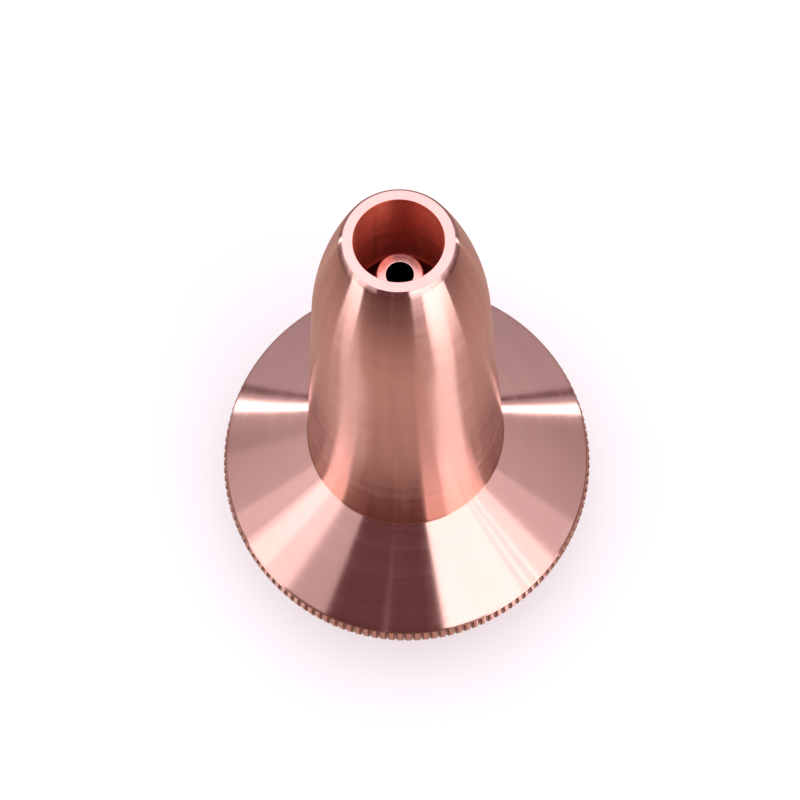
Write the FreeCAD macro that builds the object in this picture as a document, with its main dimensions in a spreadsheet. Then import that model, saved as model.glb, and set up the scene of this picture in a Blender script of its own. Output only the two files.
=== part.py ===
import FreeCAD, Part
import os
import re
import Sketcher

# A double-layer laser cutting nozzle, standing on the end of its threaded stub.
# The outer nozzle is turned from one bar of copper: a stub that screws into the cutting head, a flat
# seat, a conical flange with a knurled rim, and a tapered nose with a rounded end. The inner nozzle is
# a second turned piece, pressed in from below: its collar carries a ring of gas ports, and its slender
# shank ends in a cone with the orifice, a little below the mouth of the outer one.
# Z runs up along the nozzle's axis, and the origin is the centre of the stub's end.

# Driving sizes in millimetres, apart from the angles in degrees and the counts.
SIZES = {
    "flange_diameter": 32.0,
    "flange_angle": 38.3,
    "bottom_chamfer": 0.3,
    "knurl_height": 1.55,
    "knurl_cone_height": 0.6,
    "knurl_cone_angle": 29.5,
    "knurl_ledge": 0.03,
    "edge_width": 0.14,
    "edge_height": 0.5,
    "knurl_count": 140,
    "knurl_depth": 0.13,
    "knurl_crest": 0.4,
    "nose_base_diameter": 15.81,
    "nose_taper_angle": 6.42,
    "nose_straight_height": 23.4,
    "nose_height": 40.85,
    "nose_root_round": 0.25,
    "mouth_edge_diameter": 6.09,
    "mouth_edge_chamfer": 0.16,
    "mouth_bore_diameter": 4.67,
    "mouth_lip_diameter": 5.75,
    "mouth_lip_depth": 7.2,
    "chamber_neck_height": 0.6,
    "chamber_top_diameter": 6.8,
    "chamber_diameter": 10.0,
    "chamber_straight_height": 22.0,
    "stub_length": 8.0,
    "thread_diameter": 14.0,
    "thread_chamfer": 0.7,
    "undercut_width": 1.2,
    "undercut_depth": 0.65,
    "relief_diameter": 15.0,
    "relief_depth": 0.3,
    "collar_diameter": 11.0,
    "collar_length": 5.5,
    "collar_chamfer": 0.3,
    "collar_recess": 0.5,
    "collar_clearance": 0.01,
    "inlet_diameter": 5.6,
    "inlet_length": 34.0,
    "shank_diameter": 6.8,
    "tip_length": 10.0,
    "tip_diameter": 2.55,
    "tip_recess": 3.9,
    "orifice_diameter": 1.5,
    "orifice_length": 1.5,
    "port_diameter": 1.2,
    "port_circle_diameter": 8.6,
    "port_count": 6,
    "cutter_overrun": 1.0,
}

# Radii and heights above the stub's end that several outlines share.
KNURL_ROOT = "(flange_diameter / 2 - knurl_depth)"
LEDGE = "(" + KNURL_ROOT + " - knurl_ledge)"
BAND_TOP = "(stub_length + bottom_chamfer + knurl_height)"
CONE_TOP = "(" + BAND_TOP + " + knurl_cone_height)"
CONE_RADIUS = "(flange_diameter / 2 - knurl_cone_height * tan(knurl_cone_angle))"
RIM_RADIUS = "(" + CONE_RADIUS + " - edge_width)"
RIM = "(" + CONE_TOP + " + edge_height)"
MOUTH = "(stub_length + nose_height)"
LIP = "(" + MOUTH + " - mouth_lip_depth)"
FACE_WIDTH = "(" + RIM_RADIUS + " - nose_base_diameter / 2)"
NOSE_BASE = "(" + RIM + " + " + FACE_WIDTH + " * tan(flange_angle))"
COLLAR_TOP = "(collar_recess + collar_length)"
TIP = "(" + MOUTH + " - tip_recess)"

# The length that a line or circle is drawn with until its own sizes are bound to it.
ROUGH = 1.0
# Two places or volumes that differ by less count as the same.
NEAR = 1e-4

doc = FreeCAD.newDocument("laser_cutting_nozzle")
sheet = doc.addObject("Spreadsheet::Sheet", "Sizes")
for row, (alias, number) in enumerate(SIZES.items(), start=1):
    sheet.set("A%d" % row, alias)
    sheet.set("B%d" % row, str(number))
    sheet.setAlias("B%d" % row, alias)
doc.recompute()


def cells(text):
    """The expression with every size in it pointed at its cell in the sheet."""
    return re.sub("[a-z_]+", lambda found: "Sizes." * (found[0] in SIZES) + found[0], text)


def new_body(label):
    body = doc.addObject("PartDesign::Body", label)
    body.Label = label
    body.Placement = FreeCAD.Placement()
    return body


def origin_feature(body, role):
    """One of the body's own origin planes or axes, such as XY_Plane or Z_Axis."""
    return next(item for item in body.Origin.OriginFeatures if item.Role == role)


def new_sketch(body, name, role):
    sketch = body.newObject("Sketcher::SketchObject", name)
    sketch.AttachmentSupport = [(origin_feature(body, role), "")]
    sketch.MapMode = "FlatFace"
    return sketch


def bind(sketch, kind, geometry, end, text):
    """Holds an end of a line, or a circle's centre or radius, at the value of an expression."""
    places = (geometry,) if end is None else (-1, 1, geometry, end)
    number = sketch.addConstraint(Sketcher.Constraint(kind, *places, ROUGH))
    sketch.setExpression("Constraints[%d]" % number, cells(text))


def outline(body, name, role, corners, round_side=None):
    """A closed outline through corners, each a pair of expressions: across and up.

    The side that leaves the corner numbered round_side is an arc, tangent to the side before it. Gives
    back the sketch and where its corners came to lie.
    """
    sketch = new_sketch(body, name, role)
    sides = [i for i in range(len(corners)) if i != round_side]
    line = {}
    for i in sides:
        start = FreeCAD.Vector(i, i % 2, 0)
        line[i] = sketch.addGeometry(Part.LineSegment(start, start + FreeCAD.Vector(ROUGH, ROUGH, 0)))
    for i, (across, up) in enumerate(corners):
        before = (i - 1) % len(corners)
        place = (line[i], 1) if i in line else (line[before], 2)
        bind(sketch, "DistanceX", *place, across)
        bind(sketch, "DistanceY", *place, up)
        if i in line and before in line:
            sketch.addConstraint(Sketcher.Constraint("Coincident", line[before], 2, line[i], 1))
    doc.recompute()
    if round_side is not None:
        add_tangent_arc(sketch, line[round_side - 1], line[round_side + 1])
        doc.recompute()
    return sketch, {i: sketch.getPoint(line[i], 1) for i in sides}


def add_tangent_arc(sketch, before, after):
    """The arc that runs on smoothly from one line's end to the next line's start."""
    tail, start = sketch.getPoint(before, 1), sketch.getPoint(before, 2)
    stop = sketch.getPoint(after, 1)
    sideways = FreeCAD.Vector(tail.y - start.y, start.x - tail.x, 0).normalize()
    chord = stop - start
    radius = chord.dot(chord) / (2 * chord.dot(sideways))
    centre = start + sideways * radius
    middle = centre + ((start + stop) * 0.5 - centre).normalize() * abs(radius)
    arc = sketch.addGeometry(Part.Arc(start, middle, stop))
    first, last = (1, 2) if sketch.getPoint(arc, 1).isEqual(start, NEAR) else (2, 1)
    sketch.addConstraint(Sketcher.Constraint("Coincident", arc, last, after, 1))
    sketch.addConstraint(Sketcher.Constraint("Tangent", before, 2, arc, first))


def turn(body, kind, name, sketch):
    """A full turn of an outline about the nozzle's axis: a Revolution adds metal, a Groove cuts it."""
    feature = body.newObject("PartDesign::" + kind, name)
    feature.Profile = sketch
    feature.ReferenceAxis = (sketch, ["V_Axis"])
    feature.Angle = 360
    doc.recompute()
    return feature


def round_ring(body, name, base, corner, size):
    """A fillet on the circular edge that a corner of the outline has swept."""
    names = ["Edge%d" % number for number, edge in enumerate(base.Shape.Edges, start=1)
             if isinstance(edge.Curve, Part.Circle) and abs(edge.Curve.Radius - corner.x) < NEAR
             and abs(edge.Curve.Center.z - corner.y) < NEAR]
    feature = body.newObject("PartDesign::Fillet", name)
    feature.Base = (base, names)
    feature.setExpression("Radius", cells(size))
    doc.recompute()
    return feature


def cut(body, name, sketch, length, upwards):
    """A pocket from a sketch's plane, up or down along the direction that the sketch faces."""
    feature = body.newObject("PartDesign::Pocket", name)
    feature.Profile = sketch
    feature.Reversed = upwards
    feature.setExpression("Length", cells(length))
    doc.recompute()
    return feature


def repeat_round(body, name, features, count):
    """Copies of cuts, spread evenly round the nozzle's axis."""
    pattern = body.newObject("PartDesign::PolarPattern", name)
    pattern.Originals = features
    pattern.Axis = (origin_feature(body, "Z_Axis"), [""])
    pattern.Angle = 360
    pattern.setExpression("Occurrences", cells(count))
    body.Tip = pattern
    doc.recompute()
    return pattern


def make_outer_nozzle():
    """Stub, seat, knurled conical flange and tapered nose, with a hollow from end to end."""
    body = new_body("outer_nozzle")
    taper = "tan(nose_taper_angle) * nose_straight_height"
    root = ("nose_base_diameter / 2", NOSE_BASE)
    corners = [
        ("0", "0"),
        ("thread_diameter / 2 - thread_chamfer", "0"),
        ("thread_diameter / 2", "thread_chamfer"),
        ("thread_diameter / 2", "stub_length - undercut_width"),
        ("thread_diameter / 2 - undercut_depth", "stub_length - undercut_width"),
        ("thread_diameter / 2 - undercut_depth", "stub_length + relief_depth"),
        ("relief_diameter / 2", "stub_length + relief_depth"),
        ("relief_diameter / 2", "stub_length"),
        (LEDGE + " - bottom_chamfer", "stub_length"),
        (LEDGE, "stub_length + bottom_chamfer"),
        ("flange_diameter / 2", "stub_length + bottom_chamfer"),
        ("flange_diameter / 2", BAND_TOP),
        (CONE_RADIUS, CONE_TOP),
        (RIM_RADIUS, RIM),
        root,
        ("nose_base_diameter / 2 - " + taper, NOSE_BASE + " + nose_straight_height"),
        ("mouth_edge_diameter / 2", MOUTH + " - mouth_edge_chamfer"),
        ("mouth_edge_diameter / 2 - mouth_edge_chamfer", MOUTH),
        ("0", MOUTH),
    ]
    nose_root = corners.index(root)
    profile, spot = outline(body, "outer_profile", "XZ_Plane", corners, round_side=nose_root + 1)
    turned = turn(body, "Revolution", "turned_form", profile)
    round_ring(body, "nose_root", turned, spot[nose_root], "nose_root_round")
    hollow, _ = outline(body, "hollow_profile", "XZ_Plane", [
        ("0", "0 - cutter_overrun"),
        ("collar_diameter / 2", "0 - cutter_overrun"),
        ("collar_diameter / 2", COLLAR_TOP),
        ("chamber_diameter / 2", COLLAR_TOP),
        ("chamber_diameter / 2", COLLAR_TOP + " + chamber_straight_height"),
        ("chamber_top_diameter / 2", LIP + " - chamber_neck_height"),
        ("mouth_lip_diameter / 2", LIP),
        ("mouth_bore_diameter / 2", MOUTH),
        ("mouth_bore_diameter / 2", MOUTH + " + cutter_overrun"),
        ("0", MOUTH + " + cutter_overrun"),
    ])
    turn(body, "Groove", "gas_chamber", hollow)
    cut_knurl(body)
    return body


def cut_knurl(body):
    """Straight V grooves down the rim's band and the cone above it, with flat crests between them."""
    band = groove_outline(body, "band_profile", "flange_diameter / 2", BAND_TOP)
    band_groove = cut(body, "band_groove", band, BAND_TOP, upwards=False)
    cone = groove_outline(body, "cone_profile", CONE_RADIUS, CONE_TOP)
    cone_groove = cut(body, "cone_groove", cone, "knurl_cone_height", upwards=False)
    cone_groove.UseCustomVector = True
    cone_groove.setExpression("Direction.x", cells(KNURL_ROOT))
    cone_groove.setExpression("Direction.z", cells("0 - flange_diameter / 2 / tan(knurl_cone_angle)"))
    doc.recompute()
    repeat_round(body, "knurl", [band_groove, cone_groove], "knurl_count")


def groove_outline(body, name, radius, height):
    """A level V in the edge of a round of some radius, as much smaller as that is than the whole flange."""
    scale = " * " + radius + " / (flange_diameter / 2)"
    half = "(flange_diameter * pi / knurl_count - knurl_crest) / 2"
    wide = "(" + half + ") * (1 + cutter_overrun / knurl_depth)" + scale
    mouth = "(flange_diameter / 2 + cutter_overrun)" + scale
    corners = [(KNURL_ROOT + scale, "0"), (mouth, "0 - " + wide), (mouth, wide)]
    sketch, _ = outline(body, name, "XY_Plane", corners)
    sketch.setExpression("AttachmentOffset.Base.z", cells(height))
    doc.recompute()
    return sketch


def make_inner_nozzle():
    """A collar that is pressed into the stub, gas ports round it, and a shank that ends in the orifice."""
    body = new_body("inner_nozzle")
    collar = "collar_diameter / 2 - collar_clearance"
    profile, _ = outline(body, "inner_profile", "XZ_Plane", [
        ("0", "collar_recess"),
        (collar + " - collar_chamfer", "collar_recess"),
        (collar, "collar_recess + collar_chamfer"),
        (collar, COLLAR_TOP),
        ("shank_diameter / 2", COLLAR_TOP),
        ("shank_diameter / 2", TIP + " - tip_length"),
        ("tip_diameter / 2", TIP),
        ("0", TIP),
    ])
    turn(body, "Revolution", "turned_form", profile)
    bore, _ = outline(body, "bore_profile", "XZ_Plane", [
        ("0", "collar_recess - cutter_overrun"),
        ("inlet_diameter / 2", "collar_recess - cutter_overrun"),
        ("inlet_diameter / 2", "collar_recess + inlet_length"),
        ("orifice_diameter / 2", TIP + " - orifice_length"),
        ("orifice_diameter / 2", TIP + " + cutter_overrun"),
        ("0", TIP + " + cutter_overrun"),
    ])
    turn(body, "Groove", "beam_bore", bore)
    cut_ports(body)
    return body


def cut_ports(body):
    """The ring of gas ports, which opens into the chamber round the shank."""
    sketch = new_sketch(body, "port_profile", "XY_Plane")
    circle = sketch.addGeometry(Part.Circle(FreeCAD.Vector(), FreeCAD.Vector(0, 0, 1), ROUGH))
    bind(sketch, "DistanceX", circle, 3, "port_circle_diameter / 2")
    bind(sketch, "DistanceY", circle, 3, "0")
    bind(sketch, "Diameter", circle, None, "port_diameter")
    doc.recompute()
    port = cut(body, "gas_port", sketch, COLLAR_TOP + " + cutter_overrun", upwards=True)
    repeat_round(body, "gas_ports", [port], "port_count")


def check(bodies):
    """Stops if an object failed, a solid is unsound, or a cut took no metal away."""
    for item in doc.Objects:
        if {"Invalid", "Error"} & set(item.State):
            raise RuntimeError(item.Name + " failed: " + str(item.State))
    for body in bodies:
        shape = body.Shape
        if shape.isNull() or not shape.isValid() or len(shape.Solids) != 1:
            raise RuntimeError(body.Label + " has no sound solid")
        added = ("PartDesign::Revolution", "PartDesign::Fillet")
        stages = [item for item in body.Group if item.isDerivedFrom("PartDesign::Feature")]
        for before, after in zip(stages, stages[1:]):
            if after.TypeId not in added and after.Shape.Volume > before.Shape.Volume - NEAR:
                raise RuntimeError(after.Name + " cut nothing")
        print(body.Label, "volume", round(shape.Volume, 2), "box", shape.BoundBox)


bodies = [make_outer_nozzle(), make_inner_nozzle()]
doc.recompute()
check(bodies)
os.makedirs("parts", exist_ok=True)
for body in bodies:
    body.Shape.exportStep("parts/" + body.Label + ".step")
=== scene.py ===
from math import atan2, cos, pi, radians, sin, tan

import bmesh
import bpy
from mathutils import Matrix, Vector


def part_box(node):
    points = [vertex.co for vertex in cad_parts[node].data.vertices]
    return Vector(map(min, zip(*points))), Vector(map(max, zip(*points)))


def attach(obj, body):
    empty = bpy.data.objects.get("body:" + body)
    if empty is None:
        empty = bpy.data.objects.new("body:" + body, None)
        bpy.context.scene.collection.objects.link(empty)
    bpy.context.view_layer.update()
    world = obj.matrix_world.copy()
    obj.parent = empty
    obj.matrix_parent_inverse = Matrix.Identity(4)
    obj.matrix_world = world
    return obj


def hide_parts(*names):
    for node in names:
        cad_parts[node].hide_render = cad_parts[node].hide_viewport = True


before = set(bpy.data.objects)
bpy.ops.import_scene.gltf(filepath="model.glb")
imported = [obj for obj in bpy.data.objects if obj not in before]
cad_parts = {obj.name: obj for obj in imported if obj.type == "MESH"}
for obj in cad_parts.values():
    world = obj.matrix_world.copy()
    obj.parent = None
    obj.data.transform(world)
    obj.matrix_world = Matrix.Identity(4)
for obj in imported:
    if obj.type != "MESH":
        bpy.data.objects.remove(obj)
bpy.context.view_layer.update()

# Sizes of the nozzle in millimetres, as the solids have them, but for the thread's pitch and depth, which
# only this script draws. Heights count from the stub's end.
MM = 0.001
FLANGE_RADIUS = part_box("outer_nozzle")[1][0] / MM
MOUTH_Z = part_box("outer_nozzle")[1][2] / MM
SEAT_Z = 8.0
BOTTOM_CHAMFER = 0.3
KNURL_HEIGHT = 1.55
KNURL_CONE_HEIGHT = 0.6
KNURL_CONE_ANGLE = radians(29.5)
KNURL_DEPTH = 0.13
KNURL_LEDGE = 0.03
KNURL_COUNT = 140
EDGE_WIDTH = 0.14
EDGE_HEIGHT = 0.5
FLANGE_ANGLE = radians(38.3)
NOSE_BASE_RADIUS = 7.905
NOSE_TAPER = radians(6.42)
NOSE_STRAIGHT = 23.4
NOSE_ROOT_ROUND = 0.25
MOUTH_EDGE_RADIUS = 3.045
MOUTH_CHAMFER = 0.16
MOUTH_BORE_RADIUS = 2.335
LIP_RADIUS = 2.875
LIP_DEPTH = 7.2
NECK_HEIGHT = 0.6
CHAMBER_TOP_RADIUS = 3.4
CHAMBER_RADIUS = 5.0
CHAMBER_STRAIGHT = 22.0
COLLAR_BORE_RADIUS = 5.5
THREAD_RADIUS = 7.0
THREAD_PITCH = 1.0
THREAD_DEPTH = 0.61
THREAD_CHAMFER = 0.7
UNDERCUT_RADIUS = 6.35
UNDERCUT_WIDTH = 1.2
RELIEF_RADIUS = 7.5
RELIEF_DEPTH = 0.3
COLLAR_RADIUS = 5.49
COLLAR_BASE_Z = 0.5
COLLAR_TOP_Z = 6.0
COLLAR_CHAMFER = 0.3
INLET_RADIUS = 2.8
INLET_LENGTH = 34.0
SHANK_RADIUS = 3.4
TIP_LENGTH = 10.0
TIP_RADIUS = 1.275
TIP_RECESS = 3.9
ORIFICE_RADIUS = 0.75
ORIFICE_LENGTH = 1.5
PORT_RADIUS = 0.6
PORT_CIRCLE_RADIUS = 4.3
PORT_COUNT = 6

# Finer forms, which the solids leave out: roundings, the rim's worn bevel, and the bead in the mouth's bore.
FINE_ROUND = 0.03
STUB_ROUND = 0.04
EDGE_ROUND = 0.05
BORE_ROUND = 0.08
CORNER_ROUND = 0.1
INLET_ROUND = 0.12
RIM_ROUND = 0.15
CONE_ROUND = 0.3
BEVEL_WIDTH = 0.18
BEVEL_DROP = 0.26
BEVEL_MIDDLE_WIDTH = 0.075
BEVEL_MIDDLE_DROP = 0.08
LIP_BEAD = 0.15
LIP_BEAD_TAPER = 0.02
LIP_BEAD_HEIGHT = 0.3
NOSE_ARC_STEPS = 28
SOFTENING = 0.04
# One tooth of the knurl: places along its pitch from a valley, and how much of the depth each has.
TOOTH = ((-0.02, 1), (0.02, 1), (0.21, 0.1), (0.25, 0), (0.75, 0), (0.79, 0.1))
# One turn of the thread: places along its pitch, and how far each lies below the crest.
TURN = ((0.0, 0), (0.12, 0), (0.46, THREAD_DEPTH), (0.56, THREAD_DEPTH), (0.9, 0.05), (0.96, 0))
THREAD_RUNOUT = 1.2

# Points round each piece and each port, how far the ports' cutter sticks out, how high in the inlet the
# inner nozzle's profile closes, and what counts as a sharp edge, a bore's face and a valley's face.
OUTER_POINTS = 280
INNER_POINTS = 144
PORT_POINTS = 32
PORT_OVERRUN = 0.5
INLET_SEAM = 3.0
SHARP_EDGE = radians(25)
INWARD_LIMIT = -0.3
VALLEY_LIMIT = 0.2

KNURL_LOW_Z = SEAT_Z + BOTTOM_CHAMFER
BAND_TOP_Z = KNURL_LOW_Z + KNURL_HEIGHT
CONE_TOP_Z = BAND_TOP_Z + KNURL_CONE_HEIGHT
LEDGE_RADIUS = FLANGE_RADIUS - KNURL_DEPTH - KNURL_LEDGE
CONE_RADIUS = FLANGE_RADIUS - KNURL_CONE_HEIGHT * tan(KNURL_CONE_ANGLE)
RIM_RADIUS = CONE_RADIUS - EDGE_WIDTH
RIM_Z = CONE_TOP_Z + EDGE_HEIGHT
NOSE_BASE_Z = RIM_Z + (RIM_RADIUS - NOSE_BASE_RADIUS) * tan(FLANGE_ANGLE)
NOSE_ARC_Z = NOSE_BASE_Z + NOSE_STRAIGHT
NOSE_ARC_RADIUS = NOSE_BASE_RADIUS - NOSE_STRAIGHT * tan(NOSE_TAPER)
THREAD_LOW_Z = THREAD_CHAMFER / 2
THREAD_LOW_RADIUS = THREAD_RADIUS - THREAD_CHAMFER + THREAD_LOW_Z
TIP_Z = MOUTH_Z - TIP_RECESS
LIP_Z = MOUTH_Z - LIP_DEPTH


# Meshes

def new_object(name, vertices, faces):
    """A mesh object in metres from vertices in millimetres, smooth but for its sharp edges."""
    mesh = bpy.data.meshes.new(name)
    mesh.from_pydata([Vector(v) * MM for v in vertices], [], faces)
    mesh.validate()
    shell = bmesh.new()
    shell.from_mesh(mesh)
    bmesh.ops.recalc_face_normals(shell, faces=shell.faces)
    shell.to_mesh(mesh)
    shell.free()
    mesh.shade_smooth()
    mesh.set_sharp_from_angle(angle=SHARP_EDGE)
    piece = bpy.data.objects.new(name, mesh)
    bpy.context.collection.objects.link(piece)
    return piece


def rounded(corners, steps=4, guard=0.04):
    """Rings of a turned profile. Each corner is (radius, height, rounding), and a rounding becomes an arc.

    A ring close beside each arc keeps its shading from spreading over the long face next to it.
    """
    rings = []
    for i, (r, z, bend) in enumerate(corners):
        here = Vector((r, z))
        if bend == 0 or i in (0, len(corners) - 1):
            rings.append(here)
            continue
        back = (Vector(corners[i - 1][:2]) - here).normalized()
        ahead = (Vector(corners[i + 1][:2]) - here).normalized()
        half = back.angle(ahead) / 2
        reach = bend / tan(half)
        centre = here + (back + ahead).normalized() * (bend / sin(half))
        start = here + back * reach - centre
        turn = start.angle_signed(here + ahead * reach - centre)
        rings.append(here + back * (reach + guard))
        for k in range(steps + 1):
            swing = -turn * k / steps
            rings.append(centre + Matrix.Rotation(swing, 2) @ start)
        rings.append(here + ahead * (reach + guard))
    return rings


def arc_between(start, stop, slope, steps):
    """Rings down an arc, without its ends: it leaves start upwards, at a slope from the axis, to stop."""
    along = Vector((-sin(slope), cos(slope)))
    inward = Vector((-cos(slope), -sin(slope)))
    chord = Vector(stop) - Vector(start)
    radius = chord.length_squared / (2 * chord.dot(inward))
    sweep = 2 * atan2(chord.dot(inward), chord.dot(along))
    centre = Vector(start) + inward * radius
    return [centre + radius * (sin(sweep * k / steps) * along - cos(sweep * k / steps) * inward)
            for k in range(steps - 1, 0, -1)]


def circle(radius, height, count=OUTER_POINTS):
    turns = [2 * pi * k / count for k in range(count)]
    return [(radius * cos(turn), radius * sin(turn), height) for turn in turns]


def skin(vertices, faces, loops):
    """Joins loops of points in turn. A loop with more points than its neighbour is joined by fans."""
    first = []
    for loop in loops:
        first.append((len(vertices), len(loop)))
        vertices.extend(loop)
    for (a, many_a), (b, many_b) in zip(first, first[1:]):
        if many_a == many_b:
            for k in range(many_a):
                n = (k + 1) % many_a
                faces.append((a + k, a + n, b + n, b + k))
        elif many_a < many_b:
            ratio = many_b // many_a
            for k in range(many_a):
                fine = [b + (k * ratio + j) % many_b for j in range(ratio + 1)]
                faces.append((a + k, a + (k + 1) % many_a, *reversed(fine)))
        else:
            ratio = many_a // many_b
            for k in range(many_b):
                fine = [a + (k * ratio + j) % many_a for j in range(ratio + 1)]
                faces.append((*fine, b + (k + 1) % many_b, b + k))


def knurl_loop(radius, height, depth=KNURL_DEPTH, trim=0.0):
    """One loop round the knurl: flat crests at a radius, cut back by a trim, and V-shaped valleys."""
    loop = []
    for tooth in range(KNURL_COUNT):
        for part, share in TOOTH:
            turn = 2 * pi * (tooth + part) / KNURL_COUNT
            r = radius - max(depth * share, trim)
            loop.append((r * cos(turn), r * sin(turn), height))
    return loop


def knurl_loops():
    """Loops down the knurled rim: the worn bevel above it, a short cone, a straight band and a ledge."""
    top_radius, top = RIM_RADIUS + BEVEL_WIDTH, RIM_Z - BEVEL_DROP
    lean = (BEVEL_WIDTH - BEVEL_MIDDLE_WIDTH) / (BEVEL_DROP - BEVEL_MIDDLE_DROP)
    slope = (FLANGE_RADIUS - top_radius) / (top - BAND_TOP_Z)
    return [
        knurl_loop(top_radius - SOFTENING * lean, top + SOFTENING, 0),
        knurl_loop(top_radius, top, 0),
        knurl_loop(top_radius + SOFTENING * slope, top - SOFTENING),
        knurl_loop(FLANGE_RADIUS - 2 * SOFTENING * slope, BAND_TOP_Z + 2 * SOFTENING),
        knurl_loop(FLANGE_RADIUS - SOFTENING * slope / 2, BAND_TOP_Z),
        knurl_loop(FLANGE_RADIUS, BAND_TOP_Z - 2 * SOFTENING),
        knurl_loop(FLANGE_RADIUS, KNURL_LOW_Z + SOFTENING),
        knurl_loop(FLANGE_RADIUS, KNURL_LOW_Z, trim=SOFTENING),
        knurl_loop(LEDGE_RADIUS, KNURL_LOW_Z, 0),
    ]


def thread_loops():
    """Loops of the helical thread, from the undercut down to the stub's chamfer."""
    low, high = THREAD_LOW_Z, SEAT_Z - UNDERCUT_WIDTH
    root = THREAD_RADIUS - THREAD_DEPTH
    turns = int((high - low) / THREAD_PITCH) + 3
    loops = []
    for turn in range(turns):
        for part, depth in TURN:
            loop = []
            for k in range(OUTER_POINTS):
                height = low + THREAD_PITCH * (turn - 1 + part + k / OUTER_POINTS)
                z = min(high, max(low, height))
                limit = min(THREAD_LOW_RADIUS + (z - low), UNDERCUT_RADIUS + (high - z) * THREAD_RUNOUT)
                r = max(min(THREAD_RADIUS - depth, limit), min(limit, root))
                angle = 2 * pi * k / OUTER_POINTS
                loop.append((r * cos(angle), r * sin(angle), z))
            loops.append(loop)
    return loops[::-1]


def make_outer():
    """The outer nozzle, from the mouth down its outside to the stub's end, and up its hollow again."""
    mouth = rounded([
        (LIP_RADIUS, LIP_Z, 0),
        (MOUTH_BORE_RADIUS, MOUTH_Z, FINE_ROUND),
        (MOUTH_EDGE_RADIUS - MOUTH_CHAMFER, MOUTH_Z, EDGE_ROUND),
        (MOUTH_EDGE_RADIUS, MOUTH_Z - MOUTH_CHAMFER, 0),
    ])[1:]
    bend = arc_between((NOSE_ARC_RADIUS, NOSE_ARC_Z), (MOUTH_EDGE_RADIUS, MOUTH_Z - MOUTH_CHAMFER),
                       NOSE_TAPER, NOSE_ARC_STEPS)
    flange = rounded([
        (NOSE_ARC_RADIUS, NOSE_ARC_Z, 0),
        (NOSE_BASE_RADIUS, NOSE_BASE_Z, NOSE_ROOT_ROUND),
        (RIM_RADIUS, RIM_Z, RIM_ROUND),
        (RIM_RADIUS + BEVEL_MIDDLE_WIDTH, RIM_Z - BEVEL_MIDDLE_DROP, EDGE_ROUND),
        (RIM_RADIUS + BEVEL_WIDTH, RIM_Z - BEVEL_DROP, 0),
    ], steps=6, guard=0.02)[:-1]
    below = rounded([
        (LEDGE_RADIUS, KNURL_LOW_Z, 0),
        (LEDGE_RADIUS - BOTTOM_CHAMFER, SEAT_Z, FINE_ROUND),
        (RELIEF_RADIUS, SEAT_Z, FINE_ROUND),
        (RELIEF_RADIUS, SEAT_Z + RELIEF_DEPTH, EDGE_ROUND),
        (UNDERCUT_RADIUS, SEAT_Z + RELIEF_DEPTH, CORNER_ROUND),
        (UNDERCUT_RADIUS, SEAT_Z - UNDERCUT_WIDTH, 0),
    ])[1:]
    stub = rounded([
        (THREAD_LOW_RADIUS, THREAD_LOW_Z, 0),
        (THREAD_RADIUS - THREAD_CHAMFER, 0, STUB_ROUND),
        (COLLAR_BORE_RADIUS, 0, BORE_ROUND),
        (COLLAR_BORE_RADIUS, COLLAR_TOP_Z, 0),
        (CHAMBER_RADIUS, COLLAR_TOP_Z, 0),
        (CHAMBER_RADIUS, COLLAR_TOP_Z + CHAMBER_STRAIGHT, 0),
        (CHAMBER_TOP_RADIUS, LIP_Z - NECK_HEIGHT, 0),
        (LIP_RADIUS - LIP_BEAD, LIP_Z, EDGE_ROUND),
        (LIP_RADIUS - LIP_BEAD_TAPER, LIP_Z + LIP_BEAD_HEIGHT, CORNER_ROUND),
        (MOUTH_BORE_RADIUS, MOUTH_Z, 0),
    ])[:-1]
    vertices, faces = [], []
    loops = [circle(r, z) for r, z in mouth + bend + flange] + knurl_loops()
    loops += [circle(r, z) for r, z in below] + thread_loops()
    loops += [circle(r, z) for r, z in stub + mouth[:1]]
    skin(vertices, faces, loops)
    return new_object("outer_nozzle_turned", vertices, faces)


def make_inner():
    """The inner nozzle: collar with its gas ports, cone and orifice."""
    seam_z = COLLAR_BASE_Z + INLET_SEAM
    profile = rounded([
        (INLET_RADIUS, seam_z, 0),
        (INLET_RADIUS, COLLAR_BASE_Z, INLET_ROUND),
        (COLLAR_RADIUS - COLLAR_CHAMFER, COLLAR_BASE_Z, EDGE_ROUND),
        (COLLAR_RADIUS, COLLAR_BASE_Z + COLLAR_CHAMFER, EDGE_ROUND),
        (COLLAR_RADIUS, COLLAR_TOP_Z, FINE_ROUND),
        (SHANK_RADIUS, COLLAR_TOP_Z, CORNER_ROUND),
        (SHANK_RADIUS, TIP_Z - TIP_LENGTH, CONE_ROUND),
        (TIP_RADIUS, TIP_Z, EDGE_ROUND),
        (ORIFICE_RADIUS, TIP_Z, FINE_ROUND),
        (ORIFICE_RADIUS, TIP_Z - ORIFICE_LENGTH, 0),
        (INLET_RADIUS, COLLAR_BASE_Z + INLET_LENGTH, 0),
        (INLET_RADIUS, seam_z, 0),
    ])
    vertices, faces = [], []
    skin(vertices, faces, [circle(r, z, INNER_POINTS) for r, z in profile])
    piece = new_object("inner_nozzle_turned", vertices, faces)
    cut_ports(piece)
    return piece


def mark_bores(piece):
    """Gives the faces that look towards the axis the piece's second material, whose colour is painted light:
    a red glow of bounced light in the outer nozzle's bore, and shade in the inner nozzle's hollows.
    """
    for face in piece.data.polygons:
        across = Vector((face.center.x, face.center.y, 0)).normalized()
        if face.normal.dot(across) < INWARD_LIMIT:
            face.material_index = 1


def mark_valley_shade(piece):
    """Gives the sloping sides of the knurl's valleys the piece's third material, a painted shade."""
    for face in piece.data.polygons:
        across = Vector((face.center.x, face.center.y, 0)).normalized()
        in_knurl = KNURL_LOW_Z * MM < face.center.z < (RIM_Z - BEVEL_DROP) * MM
        if in_knurl and abs(face.normal.cross(across).z) > VALLEY_LIMIT:
            face.material_index = 2


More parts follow.
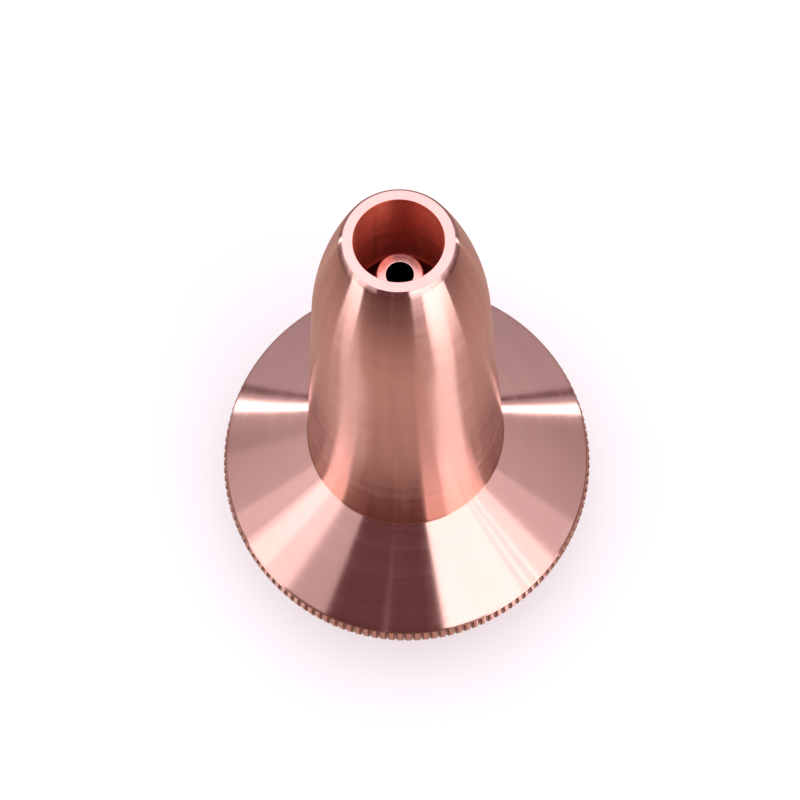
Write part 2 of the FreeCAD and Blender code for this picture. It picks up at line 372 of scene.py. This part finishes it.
def cut_ports(piece):
    """Cuts the ring of gas ports through the collar."""
    vertices, faces = [], []
    for port in range(PORT_COUNT):
        angle = 2 * pi * port / PORT_COUNT
        centre = Vector((PORT_CIRCLE_RADIUS * cos(angle), PORT_CIRCLE_RADIUS * sin(angle), 0))
        first = len(vertices)
        ends = [[centre + Vector(v) for v in circle(PORT_RADIUS, z, PORT_POINTS)]
                for z in (-PORT_OVERRUN, COLLAR_TOP_Z + PORT_OVERRUN)]
        skin(vertices, faces, ends)
        faces.append(tuple(range(first + PORT_POINTS - 1, first - 1, -1)))
        faces.append(tuple(range(first + PORT_POINTS, first + 2 * PORT_POINTS)))
    cutter = new_object("port_cutter", vertices, faces)
    boolean = piece.modifiers.new("ports", "BOOLEAN")
    boolean.operation = "DIFFERENCE"
    boolean.object = cutter
    boolean.solver = "EXACT"
    bpy.context.view_layer.update()
    done = bpy.data.meshes.new_from_object(piece.evaluated_get(bpy.context.evaluated_depsgraph_get()))
    piece.modifiers.clear()
    piece.data = done
    done.shade_smooth()
    done.set_sharp_from_angle(angle=SHARP_EDGE)
    bpy.data.objects.remove(cutter)


# Materials

# Scales of the noises, the middle range of their values, and how much they change the gloss. A ring's
# depth is in metres. A quarter turn lays the stretch of the gloss across the turning lines.
NOISE_LOW = 0.3
NOISE_HIGH = 0.7
QUARTER_TURN = 0.25
FINE_RINGS = 9.0
WIDE_RINGS = 0.8
STREAKS = 7.0
STREAK_STRETCH = 0.01
CLOUDS = 120.0
GLOSS_CHANGE = 0.03
RING_DEPTH = 0.00001
# The root colour, painted shade and bounce light in the nose's corner, in millimetres from the nose's base:
# how soft its lower edge is, and where it has faded out and where it starts to fade.
ROOT_SHADE_EDGE = 0.2
ROOT_SHADE_FADE_TOP = 10
ROOT_SHADE_FADE_BASE = 1


def node(tree, kind, **values):
    """A shader node. Each value is one of its properties, or else goes to the input socket of that name."""
    made = tree.nodes.new(kind)
    for key, value in values.items():
        if hasattr(made, key):
            setattr(made, key, value)
        else:
            made.inputs[key.replace("_", " ")].default_value = value
    return made


def maths(tree, operation, first, second=None):
    made = tree.nodes.new("ShaderNodeMath")
    made.operation = operation
    for socket, value in zip(made.inputs, (first, second)):
        if isinstance(value, (int, float)):
            socket.default_value = value
        elif value is not None:
            tree.links.new(value, socket)
    return made.outputs[0]


def turned_coordinates(tree):
    """Distance from the axis and height in millimetres, direction round the axis, and the place itself."""
    place = tree.nodes.new("ShaderNodeTexCoord").outputs["Object"]
    split = tree.nodes.new("ShaderNodeSeparateXYZ")
    tree.links.new(place, split.inputs[0])
    x, y, z = split.outputs
    squares = maths(tree, "ADD", maths(tree, "MULTIPLY", x, x), maths(tree, "MULTIPLY", y, y))
    radius = maths(tree, "DIVIDE", maths(tree, "SQRT", squares), MM)
    return radius, maths(tree, "DIVIDE", z, MM), maths(tree, "ARCTAN2", y, x), place


def noise(tree, vector, scale, detail=2.0):
    made = node(tree, "ShaderNodeTexNoise", Scale=scale, Detail=detail)
    tree.links.new(vector, made.inputs["Vector"])
    return made.outputs["Fac"]


def spread(tree, fac, low, high):
    """Maps a noise's middle range onto low to high."""
    made = node(tree, "ShaderNodeMapRange")
    made.inputs["From Min"].default_value = NOISE_LOW
    made.inputs["From Max"].default_value = NOISE_HIGH
    made.inputs["To Min"].default_value = low
    made.inputs["To Max"].default_value = high
    tree.links.new(fac, made.inputs["Value"])
    return made.outputs[0]


def join(tree, x, y, z=0.0):
    made = tree.nodes.new("ShaderNodeCombineXYZ")
    for socket, value in zip(made.inputs, (x, y, z)):
        if isinstance(value, (int, float)):
            socket.default_value = value
        else:
            tree.links.new(value, socket)
    return made.outputs[0]


def blend_colour(tree, fac, first, second):
    """A mix of two colours, each given as numbers or as another node's output."""
    made = node(tree, "ShaderNodeMix", data_type="RGBA")
    for socket, colour in ((made.inputs[6], first), (made.inputs[7], second)):
        if isinstance(colour, tuple):
            socket.default_value = (*colour, 1)
        else:
            tree.links.new(colour, socket)
    tree.links.new(fac, made.inputs[0])
    return made.outputs[2]


def step(tree, value, low, high):
    """Goes smoothly from 0 to 1 as a value goes from low to high, or the other way where low is higher."""
    made = node(tree, "ShaderNodeMapRange", interpolation_type="SMOOTHSTEP")
    made.inputs["From Min"].default_value = low
    made.inputs["From Max"].default_value = high
    tree.links.new(value, made.inputs["Value"])
    return made.outputs[0]


def turned_copper(name, light, dark, roughness, lines, anisotropy, root=None):
    """Bare copper as it comes off a lathe: fine rings, stretched gloss, faint radial streaks and tints.

    A root colour darkens and warms the lowest part of the nose, and fades out up it: painted shade and
    bounce light of the corner where the nose meets the flange.
    """
    material = bpy.data.materials.new(name)
    material.use_nodes = True
    tree = material.node_tree
    shader = tree.nodes["Principled BSDF"]
    shader.inputs["Metallic"].default_value = 1.0
    shader.inputs["Anisotropic"].default_value = anisotropy
    shader.inputs["Anisotropic Rotation"].default_value = QUARTER_TURN
    radius, height, direction, place = turned_coordinates(tree)
    rings = join(tree, radius, height)
    fine = noise(tree, rings, FINE_RINGS, 3.0)
    coarse = noise(tree, rings, WIDE_RINGS, 2.0)
    streaks = noise(tree, join(tree, maths(tree, "COSINE", direction), maths(tree, "SINE", direction),
                               maths(tree, "MULTIPLY", height, STREAK_STRETCH)), STREAKS, 4.0)
    cloud = noise(tree, place, CLOUDS, 2.0)
    both = maths(tree, "ADD", spread(tree, cloud, 0, 1), spread(tree, coarse, 0, 1))
    tint = maths(tree, "MULTIPLY", both, 0.5)
    colour = blend_colour(tree, tint, dark, light)
    # The root colour is painted shade and bounce light in the nose's corner.
    if root:
        low = maths(tree, "MULTIPLY", step(tree, height, NOSE_BASE_Z - ROOT_SHADE_EDGE, NOSE_BASE_Z + ROOT_SHADE_EDGE),
                    step(tree, height, NOSE_BASE_Z + ROOT_SHADE_FADE_TOP, NOSE_BASE_Z + ROOT_SHADE_FADE_BASE))
        colour = blend_colour(tree, low, colour, root)
    tree.links.new(colour, shader.inputs["Base Color"])
    rough = maths(tree, "ADD", spread(tree, coarse, roughness - GLOSS_CHANGE, roughness + GLOSS_CHANGE),
                  maths(tree, "ADD", spread(tree, streaks, -GLOSS_CHANGE, GLOSS_CHANGE),
                        spread(tree, fine, -GLOSS_CHANGE, GLOSS_CHANGE)))
    tree.links.new(rough, shader.inputs["Roughness"])
    bump = node(tree, "ShaderNodeBump", Strength=lines, Distance=RING_DEPTH)
    tree.links.new(fine, bump.inputs["Height"])
    tree.links.new(bump.outputs[0], shader.inputs["Normal"])
    tangent = tree.nodes.new("ShaderNodeTangent")
    tangent.direction_type = "RADIAL"
    tangent.axis = "Z"
    tree.links.new(tangent.outputs[0], shader.inputs["Tangent"])
    return material


def floor_material():
    material = bpy.data.materials.new("white_floor")
    material.use_nodes = True
    shader = material.node_tree.nodes["Principled BSDF"]
    shader.inputs["Base Color"].default_value = (*FLOOR_COLOUR, 1)
    shader.inputs["Roughness"].default_value = FLOOR_ROUGHNESS
    shader.inputs["Emission Color"].default_value = (1, 1, 1, 1)
    shader.inputs["Emission Strength"].default_value = FLOOR_GLOW
    return material


def black_shade():
    material = bpy.data.materials.new("shade")
    material.use_nodes = True
    shader = material.node_tree.nodes["Principled BSDF"]
    shader.inputs["Base Color"].default_value = (0, 0, 0, 1)
    shader.inputs["Specular IOR Level"].default_value = 0
    return material


# Studio

# The camera's place and sensor and the shade are in millimetres, all other lengths in metres.
CAMERA_FOCAL_PIXELS = 1000.0
FRAME_PIXELS = 800.0
SENSOR = 36.0
CAMERA_PLACE = Vector((0.0, -24.105, 83.212 + RIM_Z))
CAMERA_PITCH = radians(71.06)
CAMERA_YAW = radians(-0.77)
CAMERA_ROLL = radians(2.80)
AIM = Vector((0, 0, 0.02))
SHADE_POINTS = 64
SHADE_RADIUS = 7.5
SHADE_Z = -0.5
BOX_DISTANCE = 0.5
CARD_DISTANCE = 0.47
FLOOR_SIZE = 6.0
FLOOR_COLOUR = (0.9, 0.9, 0.9)
FLOOR_ROUGHNESS = 0.8
FLOOR_GLOW = 0.14
# Each softbox and card: name, azimuth and elevation in degrees, width and height in metres. A softbox ends
# with its brightness.
SOFTBOXES = (
    ("strip_left", 148.5, 8, 0.034, 0.5, 2.6),
    ("strip_right", 26.3, 8, 0.031, 0.5, 2.6),
    ("box_top", 90, 66, 0.3, 0.25, 0.4),
    ("left_fill", 178, 8, 0.25, 0.5, 0.1),
    ("left_wide", 201.6, 12, 0.304, 0.6, 0.25),
    ("left", 206, 12, 0.198, 0.6, 0.46),
    ("left_core", 201.7, 12, 0.082, 0.6, 0.35),
    ("right_wide", -44.9, 12, 0.632, 0.6, 0.22),
    ("right", -52.4, 12, 0.462, 0.6, 0.68),
    ("right_core", -60.9, 12, 0.293, 0.6, 0.42),
    ("right_glint", -36.5, 12, 0.005, 0.6, 1.5),
    ("right_glint_2", -40.8, 12, 0.005, 0.6, 1.5),
    ("left_low", 206, -20, 0.17, 0.17, 1.6),
    ("right_low", -42, -21, 0.30, 0.17, 2.0),
    ("mirrored_left", 211, -50, 0.15, 0.4, 0.3),
    ("mirrored_right", -44, -50, 0.14, 0.4, 0.6),
)
CARDS = (
    ("card_front_left", -112.7, 20, 0.194, 0.94),
    ("card_front_right", -89.1, 20, 0.18, 0.94),
    ("card_beside_left", 142.9, 8, 0.02, 0.5),
    ("card_beside_right", 32, 8, 0.02, 0.5),
)
CARD_COLOUR = (0.10, 0.03, 0.03)
# The room's colours, and where they change: how far behind, and at what height, on a sphere of radius 1.
CEILING = (1.22, 1.12, 1.24)
WALLS = (0.62, 0.56, 0.58)
BACK_WALL = (0.42, 0.38, 0.43)
FAR_TABLE = (0.10, 0.045, 0.035)
NEAR_TABLE = (0.54, 0.37, 0.31)
BEHIND = (0.3, 0.5)
BACK_WALL_BASE = (-0.33, -0.25)
NEAR_TABLE_EDGE = (-0.65, -0.4)
WALLS_BASE = (-0.03, 0.08)
CEILING_EDGE = (0.5, 0.8)


def make_camera():
    """A pinhole camera that looks down on the nozzle from the side that the photograph was taken from."""
    level = Vector((cos(CAMERA_YAW), -sin(CAMERA_YAW), 0))
    ahead = Vector((sin(CAMERA_YAW), cos(CAMERA_YAW), 0))
    forward = cos(CAMERA_PITCH) * ahead - sin(CAMERA_PITCH) * Vector((0, 0, 1))
    down = forward.cross(level)
    right = cos(CAMERA_ROLL) * level + sin(CAMERA_ROLL) * down
    under = -sin(CAMERA_ROLL) * level + cos(CAMERA_ROLL) * down
    data = bpy.data.cameras.new("camera")
    data.sensor_width = SENSOR
    data.lens = CAMERA_FOCAL_PIXELS * SENSOR / FRAME_PIXELS
    data.clip_start = 0.001
    camera = bpy.data.objects.new("camera", data)
    bpy.context.collection.objects.link(camera)
    turn = Matrix((right, -under, -forward)).transposed()
    camera.matrix_world = Matrix.Translation(CAMERA_PLACE * MM) @ turn.to_4x4()
    bpy.context.scene.camera = camera


def aim(thing, azimuth, elevation, distance):
    """Places a light or a card so that its front looks at the nozzle.

    Azimuth 0 is towards +X and 90 towards +Y, in degrees.
    """
    a, e = radians(azimuth), radians(elevation)
    away = Vector((cos(a) * cos(e), sin(a) * cos(e), sin(e)))
    thing.location = AIM + away * distance
    thing.rotation_euler = away.to_track_quat("Z", "Y").to_euler()


def softbox(name, azimuth, elevation, width, height, glow):
    """A rectangular light that no camera sees, with a surface as bright as glow times a white wall's."""
    data = bpy.data.lights.new(name, "AREA")
    data.shape = "RECTANGLE"
    data.size, data.size_y = width, height
    data.energy = glow * pi * width * height
    lamp = bpy.data.objects.new(name, data)
    bpy.context.collection.objects.link(lamp)
    lamp.visible_camera = False
    aim(lamp, azimuth, elevation, BOX_DISTANCE)


def dark_card(name, azimuth, elevation, width, height):
    """A dark card that shows in the metal alone, for the dark fans between the bright ones."""
    mesh = bpy.data.meshes.new(name)
    x, y = width / 2, height / 2
    mesh.from_pydata([(-x, -y, 0), (x, -y, 0), (x, y, 0), (-x, y, 0)], [], [(0, 1, 2, 3)])
    material = bpy.data.materials.new(name)
    material.use_nodes = True
    material.node_tree.nodes["Principled BSDF"].inputs["Base Color"].default_value = (*CARD_COLOUR, 1)
    mesh.materials.append(material)
    card = bpy.data.objects.new(name, mesh)
    bpy.context.collection.objects.link(card)
    card.visible_camera = card.visible_diffuse = card.visible_shadow = False
    aim(card, azimuth, elevation, CARD_DISTANCE)


def make_world():
    """A plain room by height: the table near by, the table far off, the walls and a bright ceiling.

    Behind the nozzle a wall stands in for the far table.
    """
    world = bpy.data.worlds.new("studio")
    bpy.context.scene.world = world
    world.use_nodes = True
    tree = world.node_tree
    split = tree.nodes.new("ShaderNodeSeparateXYZ")
    tree.links.new(tree.nodes.new("ShaderNodeTexCoord").outputs["Generated"], split.inputs[0])
    y, z = split.outputs["Y"], split.outputs["Z"]
    behind = maths(tree, "MULTIPLY", step(tree, y, *BEHIND), step(tree, z, *BACK_WALL_BASE))
    colour = blend_colour(tree, behind, FAR_TABLE, BACK_WALL)
    colour = blend_colour(tree, step(tree, z, *NEAR_TABLE_EDGE), NEAR_TABLE, colour)
    colour = blend_colour(tree, step(tree, z, *WALLS_BASE), colour, WALLS)
    colour = blend_colour(tree, step(tree, z, *CEILING_EDGE), colour, CEILING)
    tree.links.new(colour, tree.nodes["Background"].inputs[0])


def make_floor():
    """A white table top, which the metal doesn't mirror: the ground colour of the room stands in for it."""
    bpy.ops.mesh.primitive_plane_add(size=FLOOR_SIZE, location=(0, 0, 0))
    floor = bpy.context.object
    floor.name = "studio_floor"
    floor.data.materials.append(floor_material())
    floor.visible_glossy = False


def make_shade():
    """A black disc under the stub, which shows in the metal alone and keeps the hollow dark."""
    bpy.ops.mesh.primitive_circle_add(vertices=SHADE_POINTS, radius=SHADE_RADIUS * MM, fill_type="NGON",
                                      location=(0, 0, SHADE_Z * MM))
    shade = bpy.context.object
    shade.name = "studio_shade"
    shade.data.materials.append(black_shade())
    shade.visible_camera = shade.visible_diffuse = shade.visible_shadow = False


def make_studio():
    make_floor()
    make_shade()
    make_world()
    for box in SOFTBOXES:
        softbox(*box)
    for card in CARDS:
        dark_card(*card)
    bpy.context.scene.view_settings.view_transform = "Standard"


outer, inner = make_outer(), make_inner()
for piece in (outer, inner):
    mark_bores(piece)
mark_valley_shade(outer)
for material in (
    # The outer copper's root colour paints shade and bounce light in the corner at the nose's root.
    turned_copper("outer_copper", light=(0.90, 0.54, 0.49), dark=(0.86, 0.49, 0.44),
                  roughness=0.19, lines=0.05, anisotropy=0.97, root=(0.84, 0.45, 0.35)),
    # The outer bore's red colour paints the glow of light bouncing round inside the bore.
    turned_copper("outer_bore_painted_glow", light=(0.97, 0.27, 0.17), dark=(0.94, 0.20, 0.12),
                  roughness=0.42, lines=0.02, anisotropy=0.9),
    # The valleys' dark colour paints the shade in the knurl's grooves.
    turned_copper("outer_valleys_painted_shade", light=(0.26, 0.09, 0.07), dark=(0.20, 0.06, 0.05),
                  roughness=0.3, lines=0.05, anisotropy=0.5),
):
    outer.data.materials.append(material)
for material in (
    turned_copper("inner_copper", light=(0.90, 0.54, 0.48), dark=(0.85, 0.48, 0.43),
                  roughness=0.2, lines=0.05, anisotropy=0.8),
    # The inner bore's dark colour paints the shade in the inner nozzle's hollows.
    turned_copper("inner_bore_painted_shade", light=(0.10, 0.04, 0.03), dark=(0.06, 0.02, 0.02),
                  roughness=0.3, lines=0.02, anisotropy=0.5),
):
    inner.data.materials.append(material)
for piece, cad_node, slot in (
    (outer, "outer_nozzle", "outer_copper"),
    (inner, "inner_nozzle", "inner_copper"),
):
    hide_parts(cad_node)
    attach(piece, "root")
make_studio()
make_camera()
